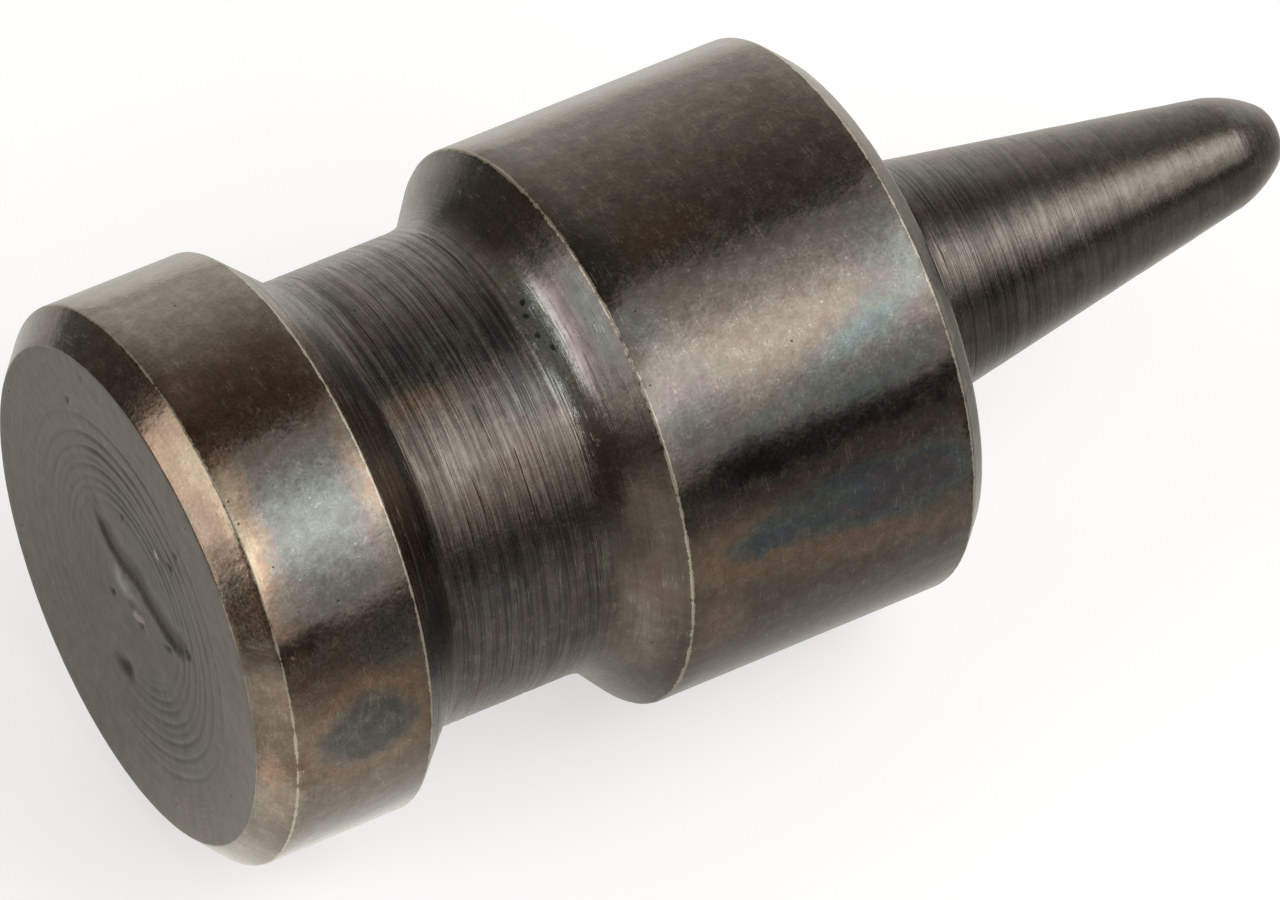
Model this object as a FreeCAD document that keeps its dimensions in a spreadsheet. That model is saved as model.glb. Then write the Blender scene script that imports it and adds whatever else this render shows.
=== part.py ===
import FreeCAD, Part

import math
import os

import Sketcher

# Chain breaker punch: one piece, turned from round bar and hardened.
# It lies along X. The struck end face is the plane X = 0 and the nose points to +X; Z is up.
# Lengths run along the axis from that end face, in millimetres.
SIZES = {
    "bar_diameter": 12.7,
    "head_length": 3.84,
    "head_bevel_length": 0.62,
    "head_bevel_depth": 0.69,
    "groove_rear_flank": 1.28,
    "groove_floor_width": 4.01,
    "groove_front_flank": 1.04,
    "groove_rear_root_radius": 0.6,
    "groove_front_root_radius": 1.4,
    "waist_diameter": 10.19,
    "shoulder_length": 7.4,
    "shoulder_bevel": 0.48,
    "nose_length": 10.93,
    "nose_root_diameter": 5.95,
    "nose_root_radius": 0.6,
    "tip_length": 1.4,
    "tip_rim_diameter": 2.58,
    "tip_flank_radius": 3.04,
    "tip_land_diameter": 1.34,
    "tip_land_rise": 0.18,
    "tip_blend_radius": 0.25,
}

# Stations along the axis and radii, worked out from the driving dimensions.
FACE_RADIUS = "sizes.bar_diameter / 2 - sizes.head_bevel_depth"
BAR_RADIUS = "sizes.bar_diameter / 2"
WAIST_RADIUS = "sizes.waist_diameter / 2"
GROOVE_REAR = "sizes.head_length"
FLOOR_REAR = f"{GROOVE_REAR} + sizes.groove_rear_flank"
FLOOR_FRONT = f"{FLOOR_REAR} + sizes.groove_floor_width"
GROOVE_FRONT = f"{FLOOR_FRONT} + sizes.groove_front_flank"
BAR_END = f"{GROOVE_FRONT} + sizes.shoulder_length"
FRONT_RADIUS = "sizes.bar_diameter / 2 - sizes.shoulder_bevel"
NOSE_END = f"{BAR_END} + sizes.nose_length"
TIP_RIM = f"{NOSE_END} - sizes.tip_length"
TIP_LAND = f"{NOSE_END} - sizes.tip_land_rise"

# The groove's section is closed this far outside the bar, so that the cut comes out clean.
CUT_MARGIN = 1.0
FULL_TURN = 360
TOLERANCE = 1e-5
SKETCH_ORIGIN = -1
START = 1
END = 2


def make_sheet(doc):
    """Write each driving dimension to a named cell."""
    sheet = doc.addObject("Spreadsheet::Sheet", "sizes")
    for row, (alias, value) in enumerate(SIZES.items(), start=1):
        sheet.set(f"A{row}", alias)
        sheet.set(f"B{row}", str(value))
        sheet.setAlias(f"B{row}", alias)
    doc.recompute()
    return sheet


def worked_out(sheet, expression):
    """The present value of an expression in the driving dimensions."""
    return float(sheet.evalExpression(expression))


def half_section(body, name):
    """Start a half section of the turned form: the sketch's X is the axis and its Y the radius."""
    sketch = body.newObject("Sketcher::SketchObject", name)
    planes = [plane for plane in body.Origin.OriginFeatures if plane.Role == "XZ_Plane"]
    sketch.AttachmentSupport = [(planes[0], "")]
    sketch.MapMode = "FlatFace"
    return sketch


def arc_through(start, end, radius):
    """An arc from start to end that bulges away from the axis."""
    chord = end - start
    half = chord.Length / 2
    sagitta = radius - math.sqrt(radius**2 - half**2)
    outward = FreeCAD.Vector(-chord.y, chord.x, 0).normalize()
    return Part.Arc(start, (start + end) / 2 + outward * sagitta, end)


def end_at(sketch, side, corner):
    """Which end of a side lies at a corner."""
    if sketch.getPoint(side, START).distanceToPoint(corner) < TOLERANCE:
        return START
    return END


def draw_outline(sheet, sketch, corners, arcs=None):
    """Draw a closed outline, with each corner held at a station and a radius.

    corners is a list of (station, radius) expressions. arcs maps a side's number to the
    expression of its radius.
    """
    arcs = arcs or {}
    places = [FreeCAD.Vector(worked_out(sheet, x), worked_out(sheet, y), 0) for x, y in corners]
    for side, start in enumerate(places):
        end = places[(side + 1) % len(places)]
        if side in arcs:
            sketch.addGeometry(arc_through(start, end, worked_out(sheet, arcs[side])), False)
        else:
            sketch.addGeometry(Part.LineSegment(start, end), False)
    for side, place in enumerate(places):
        before = (side - 1) % len(places)
        this_end = end_at(sketch, side, place)
        joint = Sketcher.Constraint("Coincident", before, end_at(sketch, before, place), side, this_end)
        sketch.addConstraint(joint)
        for direction, value, text in zip(("DistanceX", "DistanceY"), (place.x, place.y), corners[side]):
            rule = Sketcher.Constraint(direction, SKETCH_ORIGIN, START, side, this_end, value)
            bind(sketch, sketch.addConstraint(rule), text)
    for side, text in arcs.items():
        bind(sketch, sketch.addConstraint(Sketcher.Constraint("Radius", side, worked_out(sheet, text))), text)


def bind(sketch, constraint, expression):
    """Drive a sketch's constraint from the sheet."""
    sketch.setExpression(f"Constraints[{constraint}]", expression)


def spin(body, kind, name, sketch):
    """Turn a half section once round the axis, to add it to the body or to cut it away."""
    feature = body.newObject(kind, name)
    feature.Profile = sketch
    feature.ReferenceAxis = (sketch, ["H_Axis"])
    feature.Angle = FULL_TURN
    return feature


def ring_edge(feature, station, radius):
    """The name of a feature's circular edge at a station along the axis."""
    for number, edge in enumerate(feature.Shape.Edges, start=1):
        if not isinstance(edge.Curve, Part.Circle):
            continue
        same_place = abs(edge.Curve.Center.x - station) < TOLERANCE
        if same_place and abs(edge.Curve.Radius - radius) < TOLERANCE:
            return f"Edge{number}"
    raise RuntimeError(f"{feature.Label} has no edge at station {station:.3f}, radius {radius:.3f}")


def blend_ring(sheet, body, name, base, station, ring_radius, blend_radius):
    """Round the circular edge of the form that lies at a station and a radius."""
    edge = ring_edge(base, worked_out(sheet, station), worked_out(sheet, ring_radius))
    fillet = body.newObject("PartDesign::Fillet", name)
    fillet.Base = (base, [edge])
    fillet.setExpression("Radius", blend_radius)
    return fillet


def turn_bar(sheet, body):
    """The bar with a bevel round the struck face and one round the shoulder's front face."""
    sketch = half_section(body, "bar_section")
    bevel_end = "sizes.head_bevel_length"
    bevel_start = f"{BAR_END} - sizes.shoulder_bevel"
    corners = [
        ("0", "0"),
        ("0", FACE_RADIUS),
        (bevel_end, BAR_RADIUS),
        (bevel_start, BAR_RADIUS),
        (BAR_END, FRONT_RADIUS),
        (BAR_END, "0"),
    ]
    draw_outline(sheet, sketch, corners)
    return spin(body, "PartDesign::Revolution", "turned_bar", sketch)


def cut_groove(sheet, body):
    """The retaining groove between head and shoulder, with two sloping flanks."""
    sketch = half_section(body, "groove_section")
    outside = f"{BAR_RADIUS} + {CUT_MARGIN}"
    corners = [
        (GROOVE_REAR, BAR_RADIUS),
        (GROOVE_REAR, outside),
        (GROOVE_FRONT, outside),
        (GROOVE_FRONT, BAR_RADIUS),
        (FLOOR_FRONT, WAIST_RADIUS),
        (FLOOR_REAR, WAIST_RADIUS),
    ]
    draw_outline(sheet, sketch, corners)
    return spin(body, "PartDesign::Groove", "retaining_groove", sketch)


def turn_nose(sheet, body):
    """The tapered nose that pushes the rivet out, with its rounded tip."""
    sketch = half_section(body, "nose_section")
    corners = [
        (BAR_END, "0"),
        (BAR_END, "sizes.nose_root_diameter / 2"),
        (TIP_RIM, "sizes.tip_rim_diameter / 2"),
        (TIP_LAND, "sizes.tip_land_diameter / 2"),
        (NOSE_END, "0"),
    ]
    crown = "((sizes.tip_land_diameter / 2) ^ 2 + sizes.tip_land_rise ^ 2) / (2 * sizes.tip_land_rise)"
    draw_outline(sheet, sketch, corners, {2: "sizes.tip_flank_radius", 3: crown})
    return spin(body, "PartDesign::Revolution", "nose", sketch)


def build_punch(doc, sheet):
    """Build the whole punch as one body."""
    body = doc.addObject("PartDesign::Body", "punch")
    body.Label = "punch"
    body.Placement = FreeCAD.Placement(FreeCAD.Vector(0, 0, 0), FreeCAD.Rotation())
    bar = turn_bar(sheet, body)
    doc.recompute()
    groove = cut_groove(sheet, body)
    doc.recompute()
    if groove.Shape.Volume >= bar.Shape.Volume:
        raise RuntimeError("the retaining groove removes nothing")
    nose = turn_nose(sheet, body)
    doc.recompute()
    if nose.Shape.Volume <= groove.Shape.Volume:
        raise RuntimeError("the nose adds nothing")
    roots = [
        ("groove_rear_root", FLOOR_REAR, WAIST_RADIUS, "sizes.groove_rear_root_radius"),
        ("groove_front_root", FLOOR_FRONT, WAIST_RADIUS, "sizes.groove_front_root_radius"),
        ("nose_root", BAR_END, "sizes.nose_root_diameter / 2", "sizes.nose_root_radius"),
        ("tip_blend", TIP_LAND, "sizes.tip_land_diameter / 2", "sizes.tip_blend_radius"),
    ]
    for name, station, ring_radius, blend_radius in roots:
        blend_ring(sheet, body, name, body.Tip, station, ring_radius, blend_radius)
        doc.recompute()
    return body


def check_document(doc, parts):
    """Stop if a feature failed or a sub-part has no sound solid."""
    for item in doc.Objects:
        if "Invalid" in item.State or "Error" in item.State:
            raise RuntimeError(f"{item.Label} failed: {item.State}")
    for part in parts:
        if part.Shape.isNull() or not part.Shape.isValid():
            raise RuntimeError(f"{part.Label} has no valid shape")
        if len(part.Shape.Solids) != 1:
            raise RuntimeError(f"{part.Label} is {len(part.Shape.Solids)} solids, not one")


def main():
    doc = FreeCAD.newDocument("chain_breaker_punch")
    sheet = make_sheet(doc)
    parts = [build_punch(doc, sheet)]
    check_document(doc, parts)
    os.makedirs("parts", exist_ok=True)
    for part in parts:
        part.Shape.exportStep(f"parts/{part.Label}.step")
        box = part.Shape.BoundBox
        print(f"{part.Label}: {box.XLength:.2f} x {box.YLength:.2f} x {box.ZLength:.2f} mm,"
              f" {part.Shape.Volume:.1f} mm3")


main()
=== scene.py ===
import logging
import math
import random
from dataclasses import dataclass, field
from enum import Enum

import bmesh
import bpy
from mathutils import Matrix, Vector, geometry, noise


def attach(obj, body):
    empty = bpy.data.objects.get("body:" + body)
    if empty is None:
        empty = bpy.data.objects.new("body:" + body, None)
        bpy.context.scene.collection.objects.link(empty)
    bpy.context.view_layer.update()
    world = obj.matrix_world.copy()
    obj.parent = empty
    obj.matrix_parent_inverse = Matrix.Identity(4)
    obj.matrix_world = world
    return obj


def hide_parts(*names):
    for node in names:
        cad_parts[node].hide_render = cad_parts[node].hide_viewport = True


# The scene shows one chain breaker punch, turned from round bar and hardened.
# The punch lies along X: the struck face is the plane X = 0 and the nose points to +X.
# Sizes are in millimetres until a mesh is finished. Places round the punch are given as a
# clock angle in degrees, from the top (+Z) towards the front (-Y).

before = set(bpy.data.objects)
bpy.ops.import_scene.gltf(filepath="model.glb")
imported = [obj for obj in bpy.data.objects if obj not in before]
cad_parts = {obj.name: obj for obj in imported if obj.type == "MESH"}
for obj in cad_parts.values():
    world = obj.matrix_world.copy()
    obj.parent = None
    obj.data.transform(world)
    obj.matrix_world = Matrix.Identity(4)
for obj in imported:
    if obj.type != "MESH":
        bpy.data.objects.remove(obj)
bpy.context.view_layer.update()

LOG = logging.getLogger("punch")
MM = 0.001
PER_METRE = 1000.0
FULL_TURN = math.tau
PUNCH = "punch"
BODY = "root"
# Point attribute with each face point's depth; the finish paints shade into hollows and light onto
# raised spots from it.
HOLLOW_SHADING = "hollow"
FLOAT = "NodeSocketFloat"
VECTOR = "NodeSocketVector"
COLOUR = "NodeSocketColor"

# The bar's surface is laid flat at this radius, in millimetres.
UNROLLED_RADIUS = 6.35

# A ring of the outline belongs to the struck face if its station is below FACE_PLANE. Turning
# marks keep MARK_MARGIN from the ends of their surface, and regions end REGION_MARGIN from them.
FACE_PLANE = 1e-4
MARK_MARGIN = 0.05
REGION_MARGIN = 0.02

# Depths of the turning marks, in millimetres.
FACE_MARK = 0.004
GROOVE_MARK = 0.003
DEEP_MARK = 0.012
NOSE_MARK = 0.007

# Wear of the struck face and the rims, in millimetres.
RING_WIDTH = 0.05
RING_WAVER = 0.05
DISH_DEPTH = 0.105
DISH_WAVER = 0.006
CHIP_REACH = 0.09

# Depths at which a dent and a facing ring get the full painted shade in the finish; raised spots
# get painted light the same way.
FULL_DAMAGE = 0.085
FULL_RING = 0.045

# Colours of the bright marks on the steel and of the studio.
BRIGHT_FLECK = (0.30, 0.275, 0.225, 1.0)
BARE_EDGE = (0.43, 0.392, 0.318, 1.0)
WHITE = (1.0, 1.0, 1.0, 1.0)
CARD_GLOW = (1.0, 0.96, 0.87, 1.0)
DARK_ROOM = (0.155, 0.127, 0.097, 1.0)
WINDOW_LIGHT = (1.0, 0.98, 0.93, 1.0)

Colour = tuple[float, float, float]
Socket = bpy.types.NodeSocket


class Region(Enum):
    """The four kinds of surface on the punch, as material numbers of its mesh."""

    FACED_END = 0
    GROUND_LAND = 1
    TURNED_GROOVE = 2
    TURNED_NOSE = 3


class MarkAxis(Enum):
    """The coordinate across which a surface's turning marks follow one another."""

    ALONG = "Station"
    OUTWARDS = "Radius"


@dataclass(frozen=True)
class Corner:
    """A corner of the turned outline.

    Attributes:
        station: Distance from the struck face.
        radius: Distance from the axis.
        spacing: Longest edge on the run that leads to the corner.
        rounding: Radius of the round on the corner.
        steps: Number of edges in that round.
    """

    station: float
    radius: float
    spacing: float = 1.0
    rounding: float = 0.0
    steps: int = 2

    @property
    def place(self) -> Vector:
        """The corner as a point of the outline's plane."""
        return Vector((self.station, self.radius))


class Outline:
    """The half section of a turned form, drawn with one pen.

    The pen moves in the XY plane: X is the station along the axis and Y the radius.
    """

    def __init__(self, start: Corner) -> None:
        """Put the pen down.

        Args:
            start: Where the outline begins.
        """
        self.mesh = bmesh.new()
        self.pen = self.mesh.verts.new((start.station, start.radius, 0.0))

    def line_to(self, end: Vector, spacing: float) -> None:
        """Draw a straight run and divide it evenly.

        Args:
            end: Where the run ends.
            spacing: Longest edge that the run may have.
        """
        drawn = bmesh.ops.extrude_vert_indiv(self.mesh, verts=[self.pen])
        edge, place = drawn["edges"][0], end.to_3d()
        drawn["verts"][0].co = place
        cuts = max(math.ceil(edge.calc_length() / spacing) - 1, 0)
        bmesh.ops.subdivide_edges(self.mesh, edges=[edge], cuts=cuts)
        self.pen = min(self.mesh.verts, key=lambda vert: (vert.co - place).length_squared)

    def arc(self, centre: Vector, angle: float, steps: int) -> None:
        """Swing the pen round a centre.

        Args:
            centre: Centre of the arc.
            angle: Angle of the arc, counted from X towards Y.
            steps: Number of edges.
        """
        swung = bmesh.ops.spin(
            self.mesh, geom=[self.pen], cent=(centre.x, centre.y, 0.0), axis=(0, 0, 1),
            dvec=(0, 0, 0), angle=angle, steps=steps, use_duplicate=False,
        )
        last = swung["geom_last"]
        self.pen = next(item for item in last if isinstance(item, bmesh.types.BMVert))

    def arc_to(self, end: Vector, radius: float, steps: int) -> None:
        """Draw an arc that bulges away from the axis.

        Args:
            end: Where the arc ends.
            radius: Radius of the arc.
            steps: Number of edges.
        """
        start = self.pen.co.xy
        chord = end - start
        reach = math.sqrt(radius**2 - (chord.length / 2) ** 2)
        inward = Vector((chord.y, -chord.x)).normalized()
        centre = (start + end) / 2 + inward * reach
        self.arc(centre, -2 * math.asin(chord.length / 2 / radius), steps)

    def trace(self, corners: list[Corner]) -> None:
        """Draw runs through corners, with a round on each corner that has one.

        Args:
            corners: The corners in order. The first is where the pen stands, and the last
                has no round.
        """
        for before, corner, after in zip(corners, corners[1:], corners[2:] + [None]):
            if after is None or not corner.rounding:
                self.line_to(corner.place, corner.spacing)
                continue
            incoming = (corner.place - before.place).normalized()
            outgoing = (after.place - corner.place).normalized()
            turn = math.atan2(incoming.cross(outgoing), incoming.dot(outgoing))
            start = corner.place - incoming * corner.rounding * math.tan(abs(turn) / 2)
            side = Vector((-incoming.y, incoming.x)) * math.copysign(corner.rounding, turn)
            self.line_to(start, corner.spacing)
            self.arc(start + side, turn, corner.steps)


@dataclass(frozen=True)
class Dent:
    """A small round hollow, or a raised spot, on the struck face.

    Attributes:
        y: Place across the face.
        z: Height on the face, from the axis.
        size: Radius at which the hollow has all but ended.
        depth: Depth at its middle, below zero for a raised spot.
        stretch: How much longer the hollow is than it is wide.
        tilt: Direction of its length, in degrees from Y.
        steep: Width of its lower wall, as a share of the upper wall's width.
    """

    y: float
    z: float
    size: float
    depth: float
    stretch: float = 1.0
    tilt: float = 0.0
    steep: float = 1.0

    def depth_at(self, place: Vector) -> float:
        """Depth of the hollow at a place on the face.

        Args:
            place: The place, as (y, z).

        Returns:
            The depth, in millimetres.
        """
        offset = place - Vector((self.y, self.z))
        offset.rotate(Matrix.Rotation(-math.radians(self.tilt), 2))
        across = offset.y / self.steep if offset.y < 0 else offset.y
        distance = math.hypot(offset.x / self.stretch, across) / self.size
        return self.depth * math.exp(-((1.6 * distance) ** 2))


@dataclass(frozen=True)
class Gouge:
    """The long curved gouge across the struck face.

    Attributes:
        path: Places (y, z) that the gouge passes.
        sharp: Width of the steep wall, on the side towards the axis.
        gradual: Width of the slope on the other side.
        depth: Depth at the deep end, which is the path's last place.
    """

    path: tuple[tuple[float, float], ...]
    sharp: float = 0.17
    gradual: float = 0.46
    depth: float = 0.085

    def depth_at(self, place: Vector) -> float:
        """Depth of the gouge at a place on the face.

        Args:
            place: The place, as (y, z).

        Returns:
            The depth, in millimetres.
        """
        nearest, along = math.inf, 0.0
        outside = False
        runs = len(self.path) - 1
        for number, (start, end) in enumerate(zip(self.path, self.path[1:])):
            start, end = Vector(start), Vector(end)
            foot, share = geometry.intersect_point_line(place, start, end)
            share = min(max(share, 0.0), 1.0)
            foot = start.lerp(end, share)
            distance = (place - foot).length
            if distance < nearest:
                nearest, along = distance, (number + share) / runs
                outside = (end - start).cross(place - foot) < 0
        width = self.gradual if outside else self.sharp
        taper = min(0.15 + 3.0 * along, 0.66 + 0.34 * along**3)
        return self.depth * taper * math.exp(-((nearest / width) ** 3))


@dataclass
class TurnedPunch:
    """The whole punch as one turned and hardened piece.

    Attributes:
        bar_radius: Radius of the head and the shoulder.
        head_length: Length of the head, bevel included.
        bevel_length: Length of the bevel round the struck face.
        bevel_depth: How far that bevel comes in from the bar's radius.
        floor_rear: Station where the groove's rear flank would meet its floor.
        floor_front: Station where its front flank would meet its floor.
        groove_front: Station where the front flank meets the shoulder.
        waist_radius: Radius of the groove's floor.
        bar_end: Station of the shoulder's flat front face.
        front_bevel: Size of the bevel round that face.
        nose_root_radius: Radius of the nose where it leaves the shoulder.
        rim_station: Station of the rim where the tip begins.
        rim_radius: Radius of that rim.
        tip_radius: Radius of the tip's flank in section.
        land_station: Station where the flank meets the crown.
        land_radius: Radius of the crown.
        length: Length of the punch.
        turns: Number of sides that the turned mesh has.
        seed: Start of the random numbers.
        face_rings: Radius and depth of each facing ring on the struck face.
        worn_side: Direction (y, z) from the middle in which those rings are worn away.
        plain_side: Direction in which they are half as deep.
        gouge: The long gouge.
        dents: The small hollows and raised spots.
    """

    bar_radius: float = 6.35
    head_length: float = 3.84
    bevel_length: float = 0.62
    bevel_depth: float = 0.69
    floor_rear: float = 5.12
    floor_front: float = 9.13
    groove_front: float = 10.17
    waist_radius: float = 5.095
    bar_end: float = 17.57
    front_bevel: float = 0.48
    nose_root_radius: float = 2.975
    rim_station: float = 27.1
    rim_radius: float = 1.29
    tip_radius: float = 3.04
    land_station: float = 28.32
    land_radius: float = 0.67
    length: float = 28.5
    turns: int = 280
    seed: int = 7
    face_rings: tuple[tuple[float, float], ...] = (
        (4.18, 0.013), (3.73, 0.019), (3.39, 0.021), (3.16, 0.010), (2.95, 0.019),
        (2.66, 0.015), (2.44, 0.015), (2.18, 0.008),
    )
    worn_side: tuple[float, float] = (0.76, -0.65)
    plain_side: tuple[float, float] = (-0.85, 0.53)
    gouge: Gouge = field(default_factory=lambda: Gouge((
        (1.37, 1.34), (1.27, 1.18), (1.08, 1.00), (0.87, 0.82), (0.41, 0.70),
        (-0.20, 0.73), (-0.63, 0.55), (-0.95, 0.42), (-1.39, 0.32), (-1.93, 0.23), (-2.24, 0.31),
    )))
    dents: tuple[Dent, ...] = (
        Dent(0.24, 0.20, 0.50, -0.085),
        Dent(-0.10, -0.16, 0.26, 0.030, stretch=1.6, tilt=150.0),
        Dent(0.27, -2.45, 0.50, 0.085, stretch=1.0, steep=0.4),
        Dent(-0.36, -0.34, 0.14, -0.05, stretch=2.2, tilt=156.0),
        Dent(-0.50, -0.50, 0.12, 0.03, stretch=1.5, tilt=156.0),
        Dent(-1.33, 2.34, 0.09, -0.04, stretch=2.6, tilt=29.0),
        Dent(-1.88, 2.50, 0.10, 0.05, stretch=2.0, tilt=0.0),
        Dent(-2.21, 3.11, 0.11, 0.05),
        Dent(0.22, 2.12, 0.11, 0.03),
        Dent(-1.70, -0.13, 0.12, 0.05, stretch=2.0, tilt=160.0),
        Dent(2.46, 3.74, 0.13, 0.05),
        Dent(1.76, 5.01, 0.10, 0.04),
        Dent(-0.94, 4.8, 0.10, 0.04),
        Dent(0.78, -0.58, 0.12, 0.05),
    )

    @property
    def face_radius(self) -> float:
        """Radius of the flat struck face."""
        return self.bar_radius - self.bevel_depth

    def draw_outline(self) -> Outline:
        """Draw the half section from the middle of the struck face to the end of the nose.

        Returns:
            The outline, with its runs divided finely where marks are cut into them.
        """
        crown = (self.land_radius**2 + (self.length - self.land_station) ** 2) / (
            2 * (self.length - self.land_station)
        )
        corners = [
            Corner(0.0, 0.0),
            Corner(0.0, 4.35, 0.045),
            Corner(0.0, self.face_radius, 0.12, 0.10, 3),
            Corner(self.bevel_length, self.bar_radius, 0.12, 0.10, 3),
            Corner(self.head_length, self.bar_radius, 0.54, 0.06, 2),
            Corner(self.floor_rear, self.waist_radius, 0.075, 0.6, 5),
            Corner(self.floor_front, self.waist_radius, 0.065, 1.4, 14),
            Corner(self.groove_front, self.bar_radius, 0.075, 0.06, 2),
            Corner(self.bar_end - self.front_bevel, self.bar_radius, 0.58, 0.09, 2),
            Corner(self.bar_end, self.bar_radius - self.front_bevel, 0.14, 0.08, 2),
            Corner(self.bar_end, self.nose_root_radius, 0.45, 0.6, 6),
            Corner(self.rim_station, self.rim_radius, 0.25),
        ]
        outline = Outline(corners[0])
        outline.trace(corners)
        outline.arc_to(Vector((self.land_station, self.land_radius)), self.tip_radius, 8)
        rim = outline.pen
        outline.arc_to(Vector((self.length, 0.0)), crown, 6)
        bmesh.ops.smooth_vert(
            outline.mesh, verts=[rim], factor=0.4,
            use_axis_x=True, use_axis_y=True, use_axis_z=True,
        )
        return outline

    def mark_depth(self, station: float, radius: float, draw: random.Random) -> float:
        """Depth of the turning mark on one ring of the mesh.

        Args:
            station: Station of the ring.
            radius: Radius of the ring.
            draw: The source of random numbers.

        Returns:
            The depth, in millimetres. It is zero on the ground surfaces.
        """
        chance = draw.random()
        if station < FACE_PLANE:
            return FACE_MARK * chance if radius < self.face_radius - 0.3 else 0.0
        if self.head_length + MARK_MARGIN < station < self.groove_front - MARK_MARGIN:
            deep = chance > 0.86 and station < self.floor_front - 0.1
            return (DEEP_MARK if deep else 0.0) + GROOVE_MARK * chance
        if self.bar_end + MARK_MARGIN < station < self.rim_station - MARK_MARGIN:
            return NOSE_MARK * chance
        return 0.0

    def cut_marks(self, outline: Outline) -> None:
        """Press the turning marks into the outline, square to it.

        Args:
            outline: The outline to mark.
        """
        draw = random.Random(self.seed)
        moves = []
        in_order = sorted(outline.mesh.verts, key=lambda item: (round(item.co.x, 6), item.co.y))
        for vert in in_order:
            if len(vert.link_edges) != 2 or vert.co.y < 0.02:
                continue
            run = vert.link_edges[0].other_vert(vert).co - vert.link_edges[1].other_vert(vert).co
            inward = Vector((run.y, -run.x, 0.0)).normalized()
            if abs(vert.co.x) < FACE_PLANE:
                inward = Vector((1.0, 0.0, 0.0))
            elif inward.y > 0:
                inward = -inward
            moves.append((vert, inward * self.mark_depth(vert.co.x, vert.co.y, draw)))
        for vert, move in moves:
            vert.co += move

    def damage(self, place: Vector) -> float:
        """Depth of the gouge and the dents together at a place (y, z) on the face."""
        return self.gouge.depth_at(place) + sum(dent.depth_at(place) for dent in self.dents)

    def facing_mark(self, place: Vector) -> float:
        """Depth of the facing rings at a place on the face, which are worn away on one side.

        Args:
            place: The place, as (y, z).

        Returns:
            The depth, in millimetres.
        """
        waver = noise.noise(Vector((place.x * 0.45, place.y * 0.45, 9.0)))
        radius = place.length + RING_WAVER * waver
        depth = sum(
            ring_depth * math.exp(-(((radius - ring) / RING_WIDTH) ** 2))
            for ring, ring_depth in self.face_rings
        )
        direction = place.normalized()
        side = direction.dot(Vector(self.worn_side))
        plain = max(direction.dot(Vector(self.plain_side)), 0.0) ** 2
        patchy = 1.0 + 0.9 * noise.noise(Vector((place.x * 0.8, place.y * 0.8, 2.0)))
        worn = max(0.0, min((side + 0.2) / 0.9, 1.0))
        return depth * patchy * (1.6 - 1.54 * worn) * (1.0 - 0.6 * plain)

    def dish(self, place: Vector) -> float:
        """Depth of the face's shallow, uneven dish at a place on the face.

        Args:
            place: The place, as (y, z).

        Returns:
            The depth, in millimetres.
        """
        share = min(place.length / self.face_radius, 1.0)
        waver = DISH_WAVER * noise.noise(Vector((place.x * 1.3, place.y * 1.3, 4.0)))
        return DISH_DEPTH * (1.0 - share**2) ** 1.5 + waver * (1.0 - share)

    def wear(self, mesh: bmesh.types.BMesh) -> None:
        """Sink the struck face's dish, gouge and dents, and nick the rims.

        Each point of the face also notes how far it lies in a hollow. From that the finish paints
        shade into the hollows and light onto the raised spots.

        Args:
            mesh: The turned form, in millimetres.
        """
        rims = (
            (0.0, self.face_radius, 0.014), (self.bevel_length, self.bar_radius, 0.010),
            (self.head_length, self.bar_radius, 0.012), (self.groove_front, self.bar_radius, 0.014),
            (self.bar_end - self.front_bevel, self.bar_radius, 0.012),
            (self.bar_end, self.bar_radius - self.front_bevel, 0.012),
            (self.rim_station, self.rim_radius, 0.016),
        )
        hollow = mesh.verts.layers.float.new(HOLLOW_SHADING)
        for vert in mesh.verts:
            radius = vert.co.yz.length
            if vert.co.x < 0.05 and radius < self.face_radius - 0.08:
                damage, ring = self.damage(vert.co.yz), self.facing_mark(vert.co.yz)
                # Painted shade and light: deeper points are darkened and raised points lightened in
                # the finish.
                vert[hollow] = max(-1.0, min(damage / FULL_DAMAGE + ring / FULL_RING, 1.0))
                vert.co.x = max(vert.co.x + ring + damage + self.dish(vert.co.yz), 0.0)
                continue
            for station, rim_radius, depth in rims:
                off = math.hypot(vert.co.x - station, radius - rim_radius)
                if off > CHIP_REACH:
                    continue
                around = vert.co.yz.normalized() * (rim_radius / self.bar_radius * 26.0)
                chip = noise.noise(Vector((around.x, around.y, station * 3.1)))
                chip += 0.6 * noise.noise(Vector((around.x * 3.0, around.y * 3.0, station)))
                pull = depth * max(chip, 0.0) * (1.0 - off / CHIP_REACH)
                vert.co.yz *= 1.0 - pull / radius

    def region_of(self, station: float, radius: float) -> Region:
        """The kind of surface at a place on the turned form.

        Args:
            station: Station of the place.
            radius: Its distance from the axis.

        Returns:
            The region that the place belongs to.
        """
        if radius < self.face_radius - REGION_MARGIN and station < 0.3:
            return Region.FACED_END
        if self.head_length + REGION_MARGIN < station < self.groove_front - REGION_MARGIN:
            return Region.TURNED_GROOVE
        if station > self.bar_end - REGION_MARGIN:
            return Region.TURNED_NOSE
        return Region.GROUND_LAND

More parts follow.
